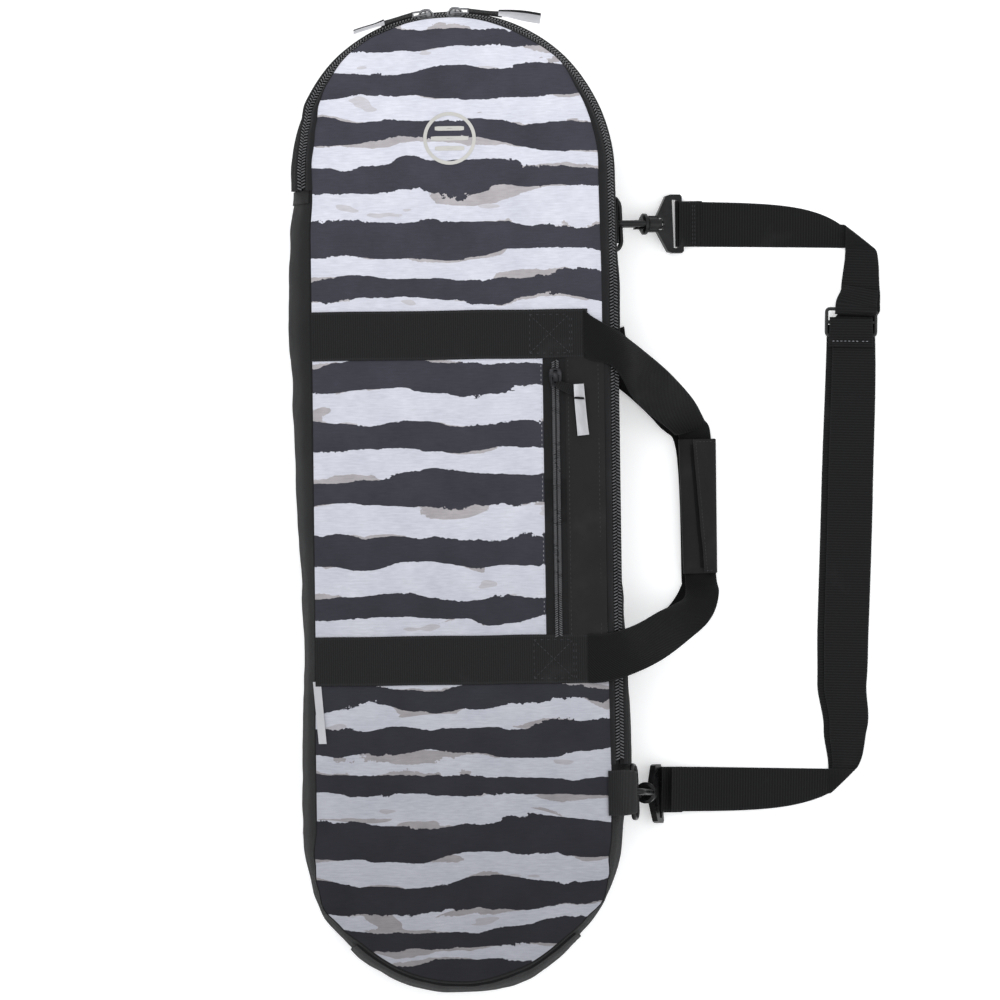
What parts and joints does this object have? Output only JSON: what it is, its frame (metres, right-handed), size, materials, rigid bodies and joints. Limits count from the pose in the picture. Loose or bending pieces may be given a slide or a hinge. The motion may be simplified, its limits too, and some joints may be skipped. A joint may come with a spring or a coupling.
{
  "type": "snowboard bag",
  "caption": "Short padded board bag on its back, with a zipped lid, zipped pocket, two carry handles and a clipped shoulder strap.",
  "frame": {"origin": "on the back face, midway between the centres of the bag's two round ends", "axes": "+Z out of the printed front, +Y towards the zipped nose, +X towards the carry handles and the shoulder strap"},
  "size_m": [0.508, 0.8438, 0.1083],
  "materials": {
    "print_cloth": "woven polyester, printed",
    "black_cloth": "coated woven polyester",
    "pocket_cloth": "woven polyester",
    "lining_cloth": "smooth nylon",
    "foam": "closed-cell foam",
    "webbing": "woven polypropylene",
    "zip_tape": "woven tape",
    "zip_coil": "nylon coil",
    "slider_metal": "dark nickel paint",
    "steel_wire": "nickel plate",
    "ribbon": "woven ribbon",
    "hook_plastic": "moulded nylon",
    "hook_tape": "hook and loop tape",
    "label": "satin label",
    "emblem": "rubber print on cloth"
  },
  "bodies": {
    "bag_body": {"back_panel": "black_cloth", "back_foam": "foam", "back_lining": "lining_cloth", "back_webbing": "webbing", "side_panel_left": "black_cloth", "bottom_cap": "black_cloth", "side_panel_right": "black_cloth", "zip_gusset": "black_cloth", "bottom_scuff_patch": "black_cloth", "zip_tape_body": "zip_tape", "zip_coil_body": "zip_coil", "front_panel_fixed": "print_cloth", "front_foam_fixed": "foam", "front_lining_fixed": "lining_cloth", "front_webbing_fixed": "webbing", "d_ring_tab_upper": "webbing", "d_ring_tab_lower": "webbing", "side_label": "label"},
    "lid": {"lid_panel": "print_cloth", "lid_foam": "foam", "lid_lining": "lining_cloth", "lid_border": "black_cloth", "zip_tape_lid": "zip_tape", "zip_coil_lid": "zip_coil", "pocket_yoke": "pocket_cloth", "pocket_zip_tape": "zip_tape", "pocket_zip_coil": "zip_coil", "pocket_bag": "pocket_cloth", "front_webbing_lid": "webbing", "emblem": "emblem"},
    "slider_left": {"slider_left": "slider_metal"},
    "slider_right": {"slider_right": "slider_metal"},
    "pull_left": {"pull_bail_left": "steel_wire", "pull_tape_left": "webbing", "pull_ribbon_left": "ribbon"},
    "pull_right": {"pull_bail_right": "steel_wire", "pull_tape_right": "webbing", "pull_ribbon_right": "ribbon"},
    "pocket_slider": {"pocket_slider": "slider_metal"},
    "pocket_pull": {"pull_bail_pocket": "steel_wire", "pull_tape_pocket": "webbing", "pull_ribbon_pocket": "ribbon"},
    "front_handle": {"front_handle_webbing": "webbing", "grip_wrap": "webbing", "grip_loop_strip": "hook_tape"},
    "grip_flap": {"grip_flap": "webbing", "grip_hook_strip": "hook_tape"},
    "back_handle": {"back_handle_webbing": "webbing"},
    "shoulder_strap": {"shoulder_webbing": "webbing", "d_ring_upper": "steel_wire", "d_ring_lower": "steel_wire", "hook_base_upper": "hook_plastic", "hook_base_lower": "hook_plastic"},
    "strap_adjuster": {"adjuster_frame": "hook_plastic", "adjuster_loop": "webbing"},
    "hook_upper": {"hook_finger_upper": "hook_plastic"},
    "hook_lower": {"hook_finger_lower": "hook_plastic"},
    "gate_upper": {"hook_gate_upper": "hook_plastic"},
    "gate_lower": {"hook_gate_lower": "hook_plastic"}
  },
  "joints": [
    {"name": "lid_hinge", "type": "hinge", "parent": "bag_body", "child": "lid", "pos_m": [-0.133, 0.268, 0.0995], "axis": [0.4472, -0.8944, 0], "range_deg": [0, 110]},
    {"name": "left_slider_travel", "type": "hinge", "parent": "bag_body", "child": "slider_left", "pos_m": [0, 0.28, 0.087], "axis": [0, 0, 1], "range_deg": [0, 80]},
    {"name": "right_slider_travel", "type": "hinge", "parent": "bag_body", "child": "slider_right", "pos_m": [0, 0.28, 0.087], "axis": [0, 0, -1], "range_deg": [0, 84]},
    {"name": "left_pull_swing", "type": "hinge", "parent": "slider_left", "child": "pull_left", "pos_m": [-0.02068, 0.4184, 0.09074], "axis": [-0.0837, 0.5603, -0.824], "range_deg": [0, 140]},
    {"name": "right_pull_swing", "type": "hinge", "parent": "slider_right", "child": "pull_right", "pos_m": [0.00488, 0.41985, 0.09074], "axis": [-0.0198, -0.5662, 0.824], "range_deg": [0, 140]},
    {"name": "pocket_slider_travel", "type": "slide", "parent": "lid", "child": "pocket_slider", "axis": [0, -1, 0], "range_m": [0, 0.205]},
    {"name": "pocket_pull_swing", "type": "hinge", "parent": "pocket_slider", "child": "pocket_pull", "pos_m": [0.086, 0.106, 0.1054], "axis": [-1, 0, 0], "range_deg": [0, 140]},
    {"name": "front_handle_swing", "type": "hinge", "parent": "lid", "child": "front_handle", "pos_m": [0.114, 0, 0.0996], "axis": [0, -1, 0], "range_deg": [0, 115]},
    {"name": "grip_flap_swing", "type": "hinge", "parent": "front_handle", "child": "grip_flap", "pos_m": [0.2249, -0.00633, 0.0159], "axis": [-0.0105, 0.9999, 0], "range_deg": [0, 150]},
    {"name": "back_handle_swing", "type": "hinge", "parent": "bag_body", "child": "back_handle", "pos_m": [0.128, 0, 0.0015], "axis": [0, -1, 0], "range_deg": [0, 69]},
    {"name": "strap_swing", "type": "hinge", "parent": "bag_body", "child": "shoulder_strap", "pos_m": [0.1338, 0.238, 0.0384], "axis": [0.028, -0.9968, 0.0748], "range_deg": [0, 80]},
    {"name": "adjuster_slide", "type": "slide", "parent": "shoulder_strap", "child": "strap_adjuster", "axis": [-0.0359, -0.9994, 0], "range_m": [-0.04, 0.3]},
    {"name": "upper_hook_swivel", "type": "hinge", "parent": "shoulder_strap", "child": "hook_upper", "pos_m": [0.1443, 0.23729, 0.02505], "axis": [0.9438, 0.0017, -0.3306], "range_deg": [-15, 15]},
    {"name": "upper_gate_press", "type": "hinge", "parent": "hook_upper", "child": "gate_upper", "pos_m": [0.15819, 0.23694, 0.01511], "axis": [-0.028, 0.9968, -0.0748], "range_deg": [0, 8], "stiffness_Nm_per_rad": 0.05},
    {"name": "lower_hook_swivel", "type": "hinge", "parent": "shoulder_strap", "child": "hook_lower", "pos_m": [0.15107, -0.25114, 0.05842], "axis": [0.3699, -0.0592, -0.9272], "range_deg": [-15, 15]},
    {"name": "lower_gate_press", "type": "hinge", "parent": "hook_lower", "child": "gate_lower", "pos_m": [0.15268, -0.25237, 0.04145], "axis": [-0.028, 0.9968, -0.0748], "range_deg": [0, 8], "stiffness_Nm_per_rad": 0.05}
  ],
  "couplings": [
    {"joint": "back_handle_swing", "follows": "front_handle_swing", "ratio": 0.6}
  ]
}
